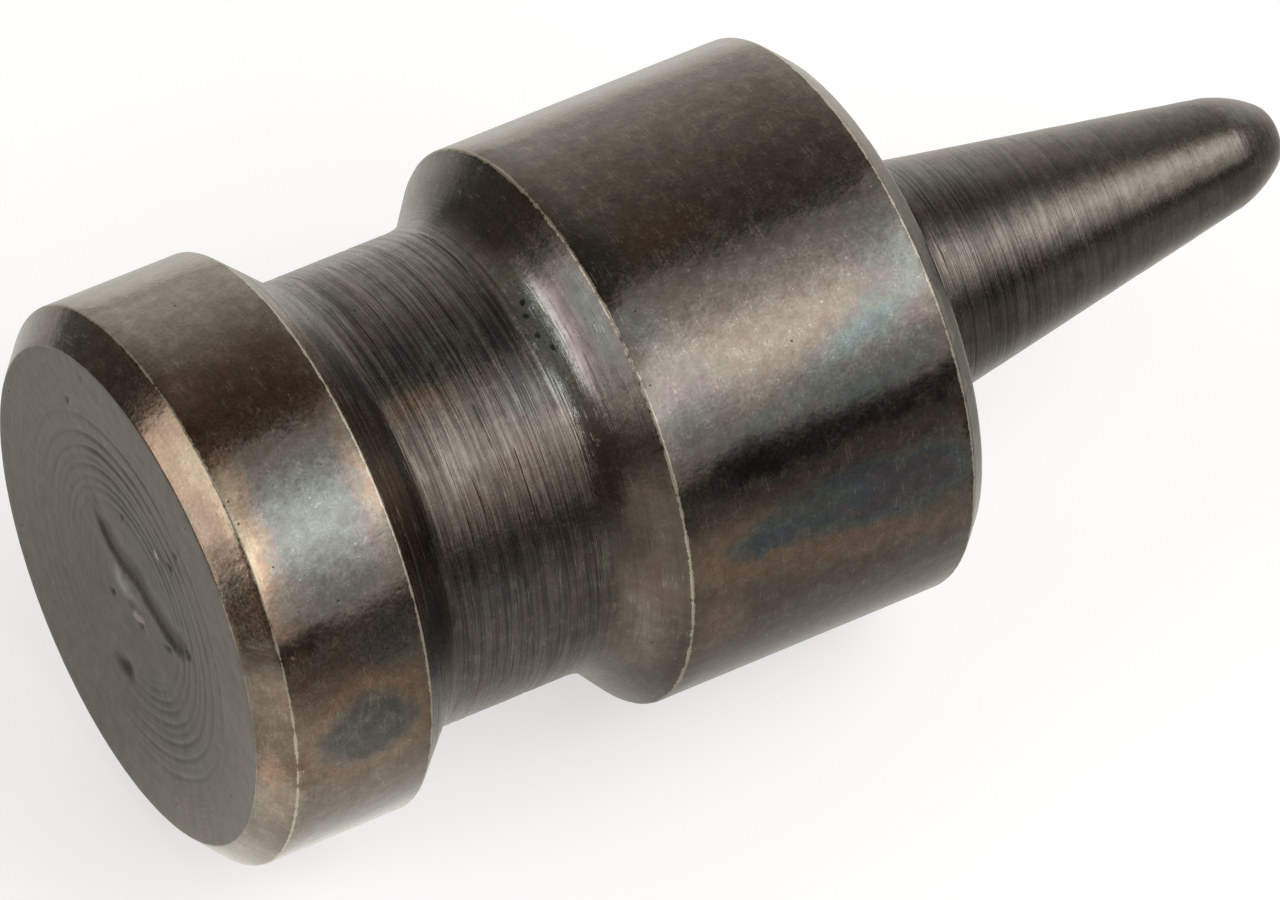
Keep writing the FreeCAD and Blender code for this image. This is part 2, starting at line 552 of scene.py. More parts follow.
    def build(self) -> bpy.types.Object:
        """Turn the outline round the axis and make the finished object.

        Returns:
            The punch, with its four regions numbered by material index.
        """
        outline = self.draw_outline()
        self.cut_marks(outline)
        mesh = outline.mesh
        profile = list(mesh.verts) + list(mesh.edges)
        bmesh.ops.rotate(
            mesh, verts=list(mesh.verts), cent=(0, 0, 0),
            matrix=Matrix.Rotation(-math.pi / 2, 3, "X"),
        )
        bmesh.ops.spin(
            mesh, geom=profile, cent=(0, 0, 0), axis=(1, 0, 0), dvec=(0, 0, 0),
            angle=FULL_TURN, steps=self.turns, use_merge=True, use_duplicate=False,
        )
        bmesh.ops.remove_doubles(mesh, verts=list(mesh.verts), dist=2e-5)
        self.wear(mesh)
        bmesh.ops.recalc_face_normals(mesh, faces=list(mesh.faces))
        for face in mesh.faces:
            middle = face.calc_center_median()
            face.material_index = self.region_of(middle.x, middle.yz.length).value
            face.smooth = True
        bmesh.ops.scale(mesh, vec=(MM, MM, MM), verts=list(mesh.verts))
        data = bpy.data.meshes.new("punch_steel")
        mesh.to_mesh(data)
        mesh.free()
        piece = bpy.data.objects.new("punch_steel", data)
        bpy.context.scene.collection.objects.link(piece)
        return piece


class Desk:
    """A node tree being laid out, with short calls for the nodes that the finishes use."""

    def __init__(self, tree: bpy.types.NodeTree) -> None:
        """Take up a tree.

        Args:
            tree: The node tree to work on.
        """
        self.tree = tree

    def feed(self, socket: Socket, value: object) -> None:
        """Link a socket to another one, or set its value.

        Args:
            socket: The input to feed.
            value: An output socket, or a plain value.
        """
        if isinstance(value, bpy.types.NodeSocket):
            self.tree.links.new(value, socket)
        else:
            socket.default_value = value

    def node(self, kind: str, inputs: dict | None = None, **settings: object) -> bpy.types.Node:
        """Add a node.

        Args:
            kind: The node's type name.
            inputs: Values or sockets for its inputs, by name or number.
            **settings: The node's own options.

        Returns:
            The new node.
        """
        made = self.tree.nodes.new(kind)
        for name, value in settings.items():
            setattr(made, name, value)
        for key, value in (inputs or {}).items():
            self.feed(made.inputs[key], value)
        return made

    def math(self, operation: str, *values: object, clamp: bool = False) -> Socket:
        """Add a Math node and give back its result.

        Args:
            operation: The sum to do.
            *values: Its inputs in order.
            clamp: Whether the result is held between 0 and 1.

        Returns:
            The result.
        """
        inputs = dict(enumerate(values))
        made = self.node("ShaderNodeMath", inputs, operation=operation, use_clamp=clamp)
        return made.outputs[0]

    def vector(self, operation: str, *values: object, **named: object) -> Socket:
        """Add a Vector Math node and give back its result.

        Args:
            operation: The sum to do.
            *values: Its inputs in order.
            **named: Inputs by name, such as Scale.

        Returns:
            The vector, or the number where the sum gives one.
        """
        inputs = {**dict(enumerate(values)), **named}
        made = self.node("ShaderNodeVectorMath", inputs, operation=operation)
        return made.outputs["Value" if operation in ("LENGTH", "DOT_PRODUCT") else "Vector"]

    def point(self, *values: object) -> Socket:
        """Put together a vector from its coordinates."""
        return self.node("ShaderNodeCombineXYZ", dict(enumerate(values))).outputs[0]

    def noise(
        self, place: Socket, scale: object, detail: float = 2.0, rough: float = 0.5
    ) -> bpy.types.Node:
        """Add a Noise Texture node.

        Args:
            place: Where the noise is read.
            scale: How fine it is.
            detail: Number of finer layers.
            rough: Strength of the finer layers.

        Returns:
            The node, for its factor or its colour.
        """
        inputs = {"Vector": place, "Scale": scale, "Detail": detail, "Roughness": rough}
        return self.node("ShaderNodeTexNoise", inputs)

    def smooth(
        self, value: object, low: object, high: object, to_low: object = 0.0, to_high: object = 1.0
    ) -> Socket:
        """Ease a value from one range to another.

        Args:
            value: The value to ease.
            low: Where the easing starts.
            high: Where it ends.
            to_low: The result at the start.
            to_high: The result at the end.

        Returns:
            The eased value.
        """
        inputs = {
            "Value": value, "From Min": low, "From Max": high, "To Min": to_low, "To Max": to_high,
        }
        made = self.node("ShaderNodeMapRange", inputs, interpolation_type="SMOOTHSTEP")
        return made.outputs["Result"]

    def blend(self, share: object, first: object, second: object) -> Socket:
        """Mix two numbers."""
        made = self.node("ShaderNodeMix", {0: share, 2: first, 3: second}, data_type="FLOAT")
        return made.outputs[0]

    def tint(self, share: object, first: object, second: object) -> Socket:
        """Mix two colours."""
        made = self.node("ShaderNodeMix", {0: share, 6: first, 7: second}, data_type="RGBA")
        return made.outputs[2]

    def group(self, tree: bpy.types.NodeTree, **inputs: object) -> bpy.types.Node:
        """Place a node group.

        Args:
            tree: The group.
            **inputs: Its inputs, with an underscore for each space in their names.

        Returns:
            The group's node.
        """
        named = {name.replace("_", " "): value for name, value in inputs.items()}
        return self.node("ShaderNodeGroup", named, node_tree=tree)


def new_group(
    name: str, inputs: dict[str, str], outputs: dict[str, str]
) -> tuple[Desk, dict, dict]:
    """Start a shader node group.

    Args:
        name: The group's name.
        inputs: Type of each input, by name.
        outputs: Type of each output, by name.

    Returns:
        The desk for the group's tree, its inputs and its outputs, by name.
    """
    tree = bpy.data.node_groups.new(name, "ShaderNodeTree")
    for label, kind in inputs.items():
        tree.interface.new_socket(name=label, in_out="INPUT", socket_type=kind)
    for label, kind in outputs.items():
        tree.interface.new_socket(name=label, in_out="OUTPUT", socket_type=kind)
    desk = Desk(tree)
    entry = desk.node("NodeGroupInput").outputs
    leave = desk.node("NodeGroupOutput").inputs
    entries = {label: entry[label] for label in inputs}
    return desk, entries, {label: leave[label] for label in outputs}


@dataclass(frozen=True)
class StainAndLightPatch:
    """A patch of heat colour, scale, painted light or painted shade on the steel.

    Attributes:
        along: Station of its middle.
        around: Clock angle of its middle, in degrees.
        length: Half its length along the axis.
        width: Half its width round the punch, in degrees.
        film: Thickness of the oxide film there, from 0 for straw to 1 for blue.
        shade: Brightness there, with 1 for the plain finish; often painted light or shade.
        strength: How far it covers what lies under it.
        slant: Angle by which its length leaves the axis, in degrees.
        soft: Width of its border, as a share of its size.
    """

    along: float
    around: float
    length: float
    width: float
    film: float
    shade: float = 1.0
    strength: float = 0.75
    slant: float = 0.0
    soft: float = 0.8

    @property
    def middle(self) -> tuple[float, float, float]:
        """Middle of the patch on the surface laid flat."""
        return self.along, math.radians(self.around) * UNROLLED_RADIUS, 0.0

    @property
    def size(self) -> tuple[float, float, float]:
        """Half its length and half its width there."""
        return self.length, math.radians(self.width) * UNROLLED_RADIUS, 1.0


class FaceStainAndLightPatch(StainAndLightPatch):
    """A patch on the struck face.

    Here `along` is the place of its middle across the face and `around` the height of its
    middle from the axis. Its width is in millimetres, and its slant is counted from Y.
    """

    @property
    def middle(self) -> tuple[float, float, float]:
        """Middle of the patch on the face."""
        return self.along, self.around, 0.0

    @property
    def size(self) -> tuple[float, float, float]:
        """Half its length and half its width there."""
        return self.length, self.width, 1.0


@dataclass(frozen=True)
class Rim:
    """A turned edge that handling has rubbed bright.

    Attributes:
        station: Station of the edge.
        radius: Radius of the edge.
        width: Width of the bright line.
    """

    station: float
    radius: float
    width: float = 0.05


class Effects:
    """The node groups that the punch's finishes share."""

    def __init__(self) -> None:
        """Build each group once."""
        self.coordinates = self._coordinates()
        self.marks = self._turning_marks()
        self.stain_and_light = self._stain_and_light_patch()
        self.rim = self._worn_rim()
        self.mottle = self._oxide_mottle()
        self.scratches = self._hair_scratches()
        self.colours = self._temper_colours()

    def _coordinates(self) -> bpy.types.NodeTree:
        """The place in millimetres, its station and radius, and two flat layouts of it.

        Returns:
            The group.
        """
        desk, entry, leave = new_group(
            "punch coordinates", {"Object": VECTOR},
            {"Millimetres": VECTOR, "Unrolled": VECTOR, "Facing": VECTOR, "Station": FLOAT,
             "Radius": FLOAT},
        )
        place = desk.vector("SCALE", entry["Object"], Scale=PER_METRE)
        parts = desk.node("ShaderNodeSeparateXYZ", {0: place}).outputs
        radius = desk.vector("LENGTH", desk.vector("MULTIPLY", place, (0.0, 1.0, 1.0)))
        angle = desk.math("ARCTAN2", desk.math("MULTIPLY", parts["Y"], -1.0), parts["Z"])
        arc = desk.math("MULTIPLY", angle, UNROLLED_RADIUS)
        desk.feed(leave["Millimetres"], place)
        desk.feed(leave["Unrolled"], desk.point(parts["X"], arc))
        desk.feed(leave["Facing"], desk.point(parts["Y"], parts["Z"]))
        desk.feed(leave["Station"], parts["X"])
        desk.feed(leave["Radius"], radius)
        return desk.tree

    def _turning_marks(self) -> bpy.types.NodeTree:
        """Fine rings that follow one another across a surface and fade in and out round it.

        Returns:
            The group.
        """
        desk, entry, leave = new_group(
            "turning marks", {"Millimetres": VECTOR, "Across": FLOAT, "Spacing": FLOAT},
            {"Height": FLOAT, "Lines": FLOAT},
        )
        parts = desk.node("ShaderNodeSeparateXYZ", {0: entry["Millimetres"]}).outputs
        across = desk.math("DIVIDE", entry["Across"], entry["Spacing"])
        around = [desk.math("MULTIPLY", parts[side], 0.22) for side in ("Y", "Z")]
        fine = desk.noise(desk.point(across, *around), 1.0, 3.0, 0.75)
        broad = desk.math("MULTIPLY", across, 0.21)
        wide = desk.noise(desk.point(broad, *around), 1.0, 2.0, 0.7)
        height = desk.math("ADD", desk.math("MULTIPLY", fine.outputs["Fac"], 0.7),
                           desk.math("MULTIPLY", wide.outputs["Fac"], 0.3))
        desk.feed(leave["Height"], desk.smooth(height, 0.36, 0.64))
        desk.feed(leave["Lines"], desk.smooth(fine.outputs["Fac"], 0.60, 0.70))
        return desk.tree

    def _stain_and_light_patch(self) -> bpy.types.NodeTree:
        """One oval patch with a soft border, which changes the film and the shade inside it.

        Returns:
            The group.
        """
        # The shade set inside the patch is partly a stain's own brightness and partly painted light
        # and shade.
        desk, entry, leave = new_group(
            "heat stain",
            {"Flat": VECTOR, "Film": FLOAT, "Shade": FLOAT, "Middle": VECTOR, "Slant": VECTOR,
             "Size": VECTOR, "Inner Edge": FLOAT, "Outer Edge": FLOAT, "New Film": FLOAT,
             "New Shade": FLOAT, "Strength": FLOAT},
            {"Film": FLOAT, "Shade": FLOAT},
        )
        local = desk.node(
            "ShaderNodeMapping",
            {"Vector": entry["Flat"], "Location": entry["Middle"], "Rotation": entry["Slant"],
             "Scale": entry["Size"]},
            vector_type="TEXTURE",
        ).outputs[0]
        share = desk.smooth(desk.vector("LENGTH", local), entry["Outer Edge"], entry["Inner Edge"],
                            0.0, entry["Strength"])
        desk.feed(leave["Film"], desk.blend(share, entry["Film"], entry["New Film"]))
        desk.feed(leave["Shade"], desk.blend(share, entry["Shade"], entry["New Shade"]))
        return desk.tree

    def _worn_rim(self) -> bpy.types.NodeTree:
        """The ragged bright line along a turned edge.

        Returns:
            The group.
        """
        desk, entry, leave = new_group(
            "worn rim",
            {"Station": FLOAT, "Radius": FLOAT, "Rim Station": FLOAT, "Rim Radius": FLOAT,
             "Width": FLOAT, "Ragged": FLOAT},
            {"Mask": FLOAT},
        )
        off = desk.point(desk.math("SUBTRACT", entry["Station"], entry["Rim Station"]),
                         desk.math("SUBTRACT", entry["Radius"], entry["Rim Radius"]))
        ragged = desk.smooth(entry["Ragged"], 0.34, 0.64, 0.40, 1.55)
        reach = desk.math("MULTIPLY", entry["Width"], ragged)
        distance = desk.math("DIVIDE", desk.vector("LENGTH", off), reach)
        desk.feed(leave["Mask"], desk.smooth(distance, 1.15, 0.55))
        return desk.tree

    def _oxide_mottle(self) -> bpy.types.NodeTree:
        """Uneven oxide: clouds, patches, grain, dark pits, bright flecks and specks.

        Returns:
            The group.
        """
        desk, entry, leave = new_group(
            "oxide mottle", {"Millimetres": VECTOR},
            {"Clouds": FLOAT, "Patches": FLOAT, "Grain": FLOAT, "Pits": FLOAT, "Flecks": FLOAT,
             "Specks": FLOAT, "Warp": VECTOR},
        )
        place = entry["Millimetres"]
        clouds = desk.noise(place, 0.75, 4.0, 0.62).outputs["Fac"]
        patches = desk.noise(place, 3.1, 3.0, 0.6).outputs["Fac"]
        grain = desk.noise(place, 14.0, 3.0, 0.72).outputs["Fac"]
        warp = desk.noise(place, 1.5, 5.0, 0.72).outputs["Color"]
        sparks = desk.noise(place, 17.0, 1.0, 0.5).outputs["Fac"]
        cells = desk.node("ShaderNodeTexVoronoi", {"Vector": place, "Scale": 2.7}).outputs
        chosen = desk.node("ShaderNodeSeparateColor", {0: cells["Color"]}).outputs[0]
        size = desk.smooth(chosen, 0.86, 1.0, 0.0, 0.13)
        flecks = desk.math("MULTIPLY", desk.smooth(sparks, 0.60, 0.76),
                           desk.smooth(patches, 0.42, 0.62))
        dust = desk.node("ShaderNodeTexVoronoi", {"Vector": place, "Scale": 5.5}).outputs
        kept = desk.node("ShaderNodeSeparateColor", {0: dust["Color"]}).outputs[1]
        grains = desk.smooth(kept, 0.93, 1.0, 0.0, 0.24)
        pits = desk.smooth(cells["Distance"], size, desk.math("MULTIPLY", size, 0.4))
        specks = desk.smooth(dust["Distance"], grains, desk.math("MULTIPLY", grains, 0.5))
        desk.feed(leave["Clouds"], clouds)
        desk.feed(leave["Patches"], patches)
        desk.feed(leave["Grain"], grain)
        desk.feed(leave["Pits"], pits)
        desk.feed(leave["Flecks"], flecks)
        desk.feed(leave["Specks"], specks)
        desk.feed(leave["Warp"], desk.vector("SUBTRACT", warp, (0.5, 0.5, 0.5)))
        return desk.tree

    def _hair_scratches(self) -> bpy.types.NodeTree:
        """Hair scratches on a surface laid flat, in a few directions.

        Returns:
            The group.
        """
        desk, entry, leave = new_group(
            "hair scratches", {"Flat": VECTOR, "Density": FLOAT, "Patches": FLOAT}, {"Mask": FLOAT},
        )
        start = desk.math("SUBTRACT", 0.77, desk.math("MULTIPLY", entry["Density"], 0.12))
        start = desk.math("ADD", start, desk.smooth(entry["Patches"], 0.42, 0.62, 0.10, -0.03))
        found = None
        for turn, length in ((3.0, 1.5), (17.0, 1.0), (-24.0, 0.8), (57.0, 0.7), (101.0, 1.1)):
            turned = desk.node(
                "ShaderNodeMapping",
                {"Vector": entry["Flat"], "Location": (turn, turn, 0.0),
                 "Rotation": (0.0, 0.0, math.radians(turn)), "Scale": (25.0, 1.4 / length, 1.0)},
            ).outputs[0]
            lines = desk.node("ShaderNodeTexNoise", {"Vector": turned, "Scale": 1.0, "Detail": 1.0},
                              noise_dimensions="2D").outputs["Fac"]
            mask = desk.smooth(lines, start, desk.math("ADD", start, 0.06))
            found = mask if found is None else desk.math("MAXIMUM", found, mask)
        desk.feed(leave["Mask"], found)
        return desk.tree

    def _temper_colours(self) -> bpy.types.NodeTree:
        """The colours that an oxide film of growing thickness gives to hot steel.

        Returns:
            The group.
        """
        desk, entry, leave = new_group(
            "temper colours", {"Film": FLOAT, "Shade": FLOAT}, {"Color": COLOUR},
        )
        stops: dict[float, Colour] = {
            0.00: (0.215, 0.190, 0.150),
            0.15: (0.185, 0.150, 0.106),
            0.28: (0.158, 0.110, 0.081),
            0.42: (0.123, 0.107, 0.088),
            0.49: (0.118, 0.108, 0.091),
            0.56: (0.122, 0.101, 0.094),
            0.68: (0.108, 0.105, 0.097),
            0.80: (0.105, 0.113, 0.099),
            0.88: (0.092, 0.110, 0.105),
            0.93: (0.086, 0.101, 0.112),
            0.97: (0.091, 0.088, 0.094),
            1.00: (0.095, 0.086, 0.087),
        }
        ramp = desk.node("ShaderNodeValToRGB", {0: entry["Film"]})
        points = ramp.color_ramp.elements
        while len(points) < len(stops):
            points.new(0.5)
        for point, (position, colour) in zip(points, stops.items()):
            point.position = position
            point.color = (*colour, 1.0)
        shade = desk.point(entry["Shade"], entry["Shade"], entry["Shade"])
        desk.feed(leave["Color"], desk.vector("MULTIPLY", ramp.outputs["Color"], shade))
        return desk.tree


@dataclass(frozen=True)
class SteelFinish:
    """Hardened steel as it looks on one region of the punch.

    Attributes:
        name: Name of the material.
        film: Oxide film where no stain lies.
        shade: Brightness where no patch lies.
        roughness: Roughness of the clean surface.
        mark_axis: Coordinate across which the turning marks follow one another.
        spacing: Spacing of those marks.
        mark_height: Height of the marks in the bump.
        mark_contrast: How far the marks change the brightness.
        line_contrast: How far the few deepest marks darken the steel.
        fade_start: Station from which the marks grow fainter.
        fade_end: Station from which they are faint.
        grain_height: Height of the oxide's grain in the bump.
        grain_contrast: How far the grain changes the brightness.
        clouds: How far broad clouds change the film.
        ragged: How far the patches' borders wander, in millimetres.
        scratch_density: Share of hair scratches.
        fleck_contrast: How far bright flecks and specks stand out.
        stain_and_light_patches: Patches of heat colour and of painted light and shade, lowest
            first.
        rims: The worn edges.
    """

    name: str
    film: float
    shade: float
    roughness: float
    mark_axis: MarkAxis = MarkAxis.ALONG
    spacing: float = 0.06
    mark_height: float = 0.3
    mark_contrast: float = 0.2
    line_contrast: float = 0.0
    fade_start: float = 40.0
    fade_end: float = 50.0
    grain_height: float = 0.3
    grain_contrast: float = 1.5
    clouds: float = 0.25
    ragged: float = 1.2
    scratch_density: float = 0.5
    fleck_contrast: float = 0.32
    stain_and_light_patches: tuple[StainAndLightPatch, ...] = ()
    rims: tuple[Rim, ...] = ()

    def lay_stain_and_light_patches(
        self, desk: Desk, effects: Effects, place: Socket, film: Socket, shade: Socket
    ) -> tuple[Socket, Socket]:
        """Lay the patches over the plain finish, one after another.

        Args:
            desk: The material's desk.
            effects: The shared groups.
            place: The place on the surface laid flat, with its wandering borders.
            film: The film under the patches.
            shade: The brightness under the patches.

        Returns:
            The film and the brightness with every patch laid.
        """
        for stain_and_light in self.stain_and_light_patches:
            laid = desk.group(
                effects.stain_and_light, Flat=place, Film=film, Shade=shade,
                Middle=stain_and_light.middle, Slant=(0.0, 0.0, math.radians(stain_and_light.slant)), Size=stain_and_light.size,
                Inner_Edge=1.0 - stain_and_light.soft, Outer_Edge=1.0 + stain_and_light.soft,
                New_Film=stain_and_light.film, New_Shade=stain_and_light.shade, Strength=stain_and_light.strength,
            )
            film, shade = laid.outputs["Film"], laid.outputs["Shade"]
        return film, shade

    def material(self, effects: Effects) -> bpy.types.Material:
        """Build the material.

        Args:
            effects: The shared groups.

        Returns:
            The finished material.
        """
        made = bpy.data.materials.new(self.name)
        made.use_nodes = True
        made.node_tree.nodes.clear()
        desk = Desk(made.node_tree)
        place = desk.node("ShaderNodeTexCoord").outputs["Object"]
        at = desk.group(effects.coordinates, Object=place).outputs
        mottle = desk.group(effects.mottle, Millimetres=at["Millimetres"]).outputs
        marks = desk.group(effects.marks, Millimetres=at["Millimetres"],
                           Across=at[self.mark_axis.value], Spacing=self.spacing).outputs
        plain = desk.smooth(at["Station"], self.fade_start, self.fade_end, 1.0, 0.3)
        rings = desk.math("MULTIPLY", desk.math("SUBTRACT", marks["Height"], 0.5), plain)
        deepest = desk.math("MULTIPLY", marks["Lines"], plain)
        layout = at["Unrolled" if self.mark_axis is MarkAxis.ALONG else "Facing"]
        scratches = desk.group(effects.scratches, Flat=layout, Density=self.scratch_density,
                               Patches=mottle["Patches"]).outputs["Mask"]
        warp = desk.vector("SCALE", mottle["Warp"], Scale=self.ragged)
        spread = desk.vector("ADD", layout, desk.vector("MULTIPLY", warp, (1.0, 1.0, 0.0)))
        clouds = desk.math("SUBTRACT", mottle["Clouds"], 0.5)
        patches = desk.math("SUBTRACT", mottle["Patches"], 0.5)
        film = desk.math("MULTIPLY_ADD", clouds, self.clouds, self.film)
        shade = desk.math("MULTIPLY_ADD", clouds, 0.5, self.shade)
        film, shade = self.lay_stain_and_light_patches(desk, effects, spread, film, shade)
        film = desk.math("MULTIPLY_ADD", patches, self.clouds * 0.8, film)
        grains = desk.math("SUBTRACT", mottle["Grain"], 0.5)
        # Painted shade in the dents, gouge and facing rings, and painted light on the raised pip
        # and spots, from each point's depth.
        hollow = desk.node("ShaderNodeAttribute", attribute_name=HOLLOW_SHADING).outputs["Fac"]
        for amount, contrast in (
            (patches, 0.8), (grains, self.grain_contrast), (rings, self.mark_contrast),
            (deepest, -self.line_contrast), (mottle["Pits"], -0.4), (hollow, -0.64),
        ):
            change = desk.math("MULTIPLY_ADD", amount, contrast, 1.0)
            shade = desk.math("MULTIPLY", shade, change)
        colour = desk.group(effects.colours, Film=film, Shade=shade).outputs["Color"]
        flecks = desk.math("MAXIMUM", mottle["Flecks"], mottle["Specks"])
        flecks = desk.math("MULTIPLY", flecks, self.fleck_contrast)
        bright = desk.math("MAXIMUM", desk.math("MULTIPLY", scratches, 0.33), flecks)
        bright = desk.math("MULTIPLY", bright, desk.smooth(shade, 0.25, 0.8))
        worn = 0.0
        ragged = desk.blend(0.55, mottle["Grain"], mottle["Patches"])
        for rim in self.rims:
            mask = desk.group(effects.rim, Station=at["Station"], Radius=at["Radius"],
                              Rim_Station=rim.station, Rim_Radius=rim.radius, Width=rim.width,
                              Ragged=ragged).outputs["Mask"]
            worn = desk.math("MAXIMUM", worn, mask)
        colour = desk.tint(bright, colour, BRIGHT_FLECK)
        colour = desk.tint(worn, colour, BARE_EDGE)
        rough = desk.math("MULTIPLY_ADD", grains, 0.3, self.roughness)
        rough = desk.math("MULTIPLY_ADD", mottle["Pits"], 0.3, rough, clamp=True)
        rough = desk.blend(worn, rough, 0.45)
        height = desk.math("MULTIPLY", rings, self.mark_height)
        for amount, share in (
            (mottle["Grain"], self.grain_height), (mottle["Clouds"], 1.6),
            (mottle["Patches"], 0.45), (deepest, -self.line_contrast),
            (mottle["Pits"], -0.5), (scratches, -0.2),
        ):
            height = desk.math("MULTIPLY_ADD", amount, share, height)
        relief = {"Height": height, "Strength": 1.0, "Distance": 0.01 * MM}
        bump = desk.node("ShaderNodeBump", relief)
        steel = desk.node("ShaderNodeBsdfPrincipled", {
            "Base Color": colour, "Roughness": rough, "Metallic": 1.0, "Normal": bump.outputs[0],
        })
        desk.node("ShaderNodeOutputMaterial", {"Surface": steel.outputs[0]})
        return made


FACED_END = SteelFinish(
    "faced_end", film=0.50, shade=0.82, roughness=0.36, mark_axis=MarkAxis.OUTWARDS,
    spacing=0.07, mark_height=0.2, mark_contrast=0.12, grain_height=0.5, grain_contrast=1.7,
    clouds=0.32, ragged=0.3, scratch_density=0.0,
    stain_and_light_patches=(
        FaceStainAndLightPatch(2.6, 1.2, 2.4, 3.2, 0.56, 0.86, 0.7),
        FaceStainAndLightPatch(-0.2, 0.0, 3.0, 2.9, 0.50, 0.64, 0.8, soft=0.5),
        FaceStainAndLightPatch(-4.0, -2.6, 2.4, 2.2, 0.56, 0.60, 0.8, soft=0.6),
        FaceStainAndLightPatch(-1.2, 2.0, 2.2, 1.0, 0.76, 0.78, 0.7, slant=20.0),
        FaceStainAndLightPatch(-1.7, -2.3, 1.7, 1.3, 0.78, 0.62, 0.6),
        FaceStainAndLightPatch(2.6, -3.0, 1.6, 1.6, 0.40, 0.74, 0.6),
        # Painted highlight on the raised pip.
        FaceStainAndLightPatch(0.28, 0.16, 0.46, 0.38, 0.78, 1.25, 0.9, soft=0.35),
        FaceStainAndLightPatch(1.0, 1.05, 0.7, 0.26, 0.30, 0.56, 0.8, slant=40.0),
        FaceStainAndLightPatch(-0.38, -0.36, 0.30, 0.13, 0.54, 1.7, 0.9, slant=156.0, soft=0.4),
        FaceStainAndLightPatch(-0.35, -0.85, 0.4, 0.3, 0.32, 0.60, 0.7),
        # Painted highlight on a small raised nick.
        FaceStainAndLightPatch(-1.33, 2.34, 0.12, 0.065, 0.47, 3.2, 1.0, slant=29.0, soft=0.3),
    ),
)

